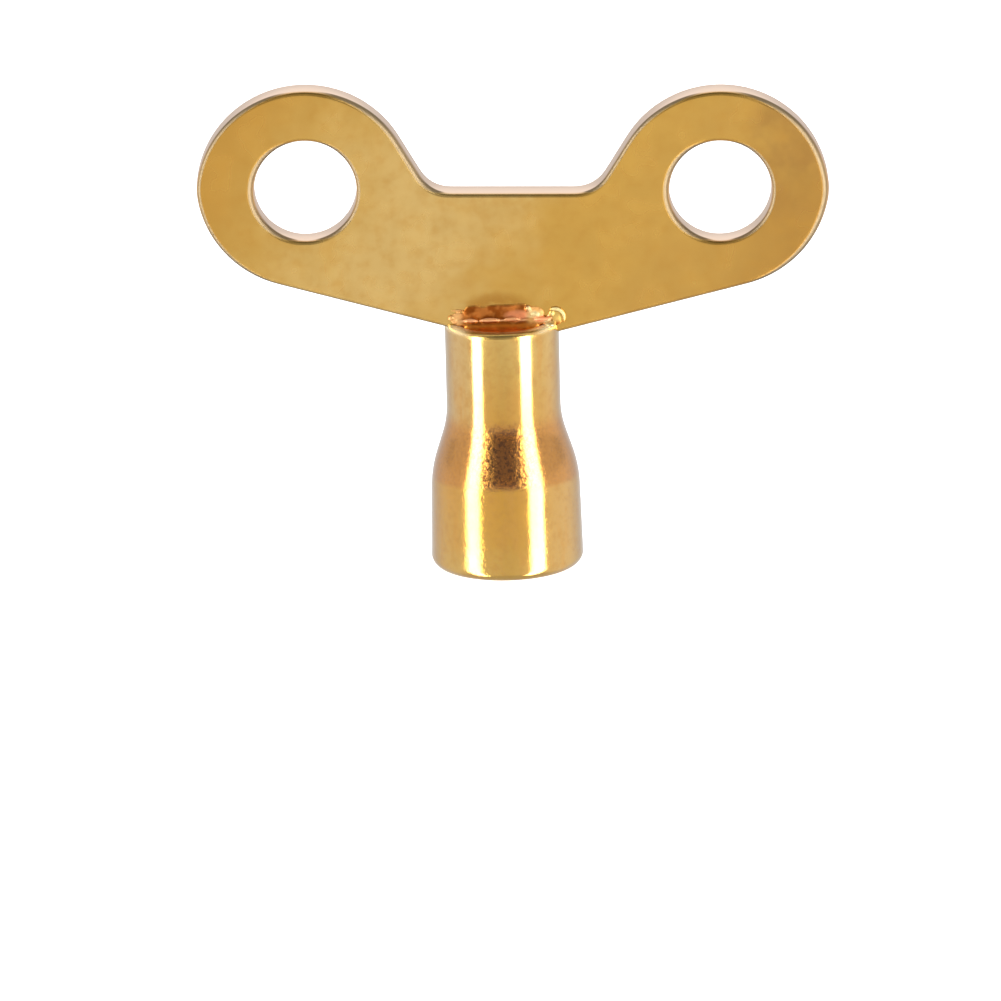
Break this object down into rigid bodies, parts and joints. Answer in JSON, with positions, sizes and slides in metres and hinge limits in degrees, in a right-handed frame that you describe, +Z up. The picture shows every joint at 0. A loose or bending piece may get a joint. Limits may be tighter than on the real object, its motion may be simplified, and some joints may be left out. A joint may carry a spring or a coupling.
{
  "type": "radiator bleed key",
  "caption": "Hand key for a radiator bleed valve: a flat stamped wing with round finger holes, brazed across the neck of a flared tube whose foot holds a square socket.",
  "frame": {"origin": "centre of the square socket's mouth, on the plane that the foot rests on", "axes": "+Z up the tube's axis towards the handle, +X along the wing towards the side that the handle leans to, +Y out of the plate's rear face"},
  "size_m": [0.0451, 0.011, 0.0355],
  "materials": {
    "plated_sheet": "satin brass plating over stamped sheet, with faint mottling and bright rolled edges",
    "plated_tube": "bright brass plating over swaged tube, grainy where the flare was formed",
    "braze": "shiny coppery braze, lumpy"
  },
  "bodies": {
    "root": {"handle_plate": "plated_sheet", "socket_tube": "plated_tube", "braze_front": "braze", "braze_rear": "braze"}
  },
  "joints": []
}
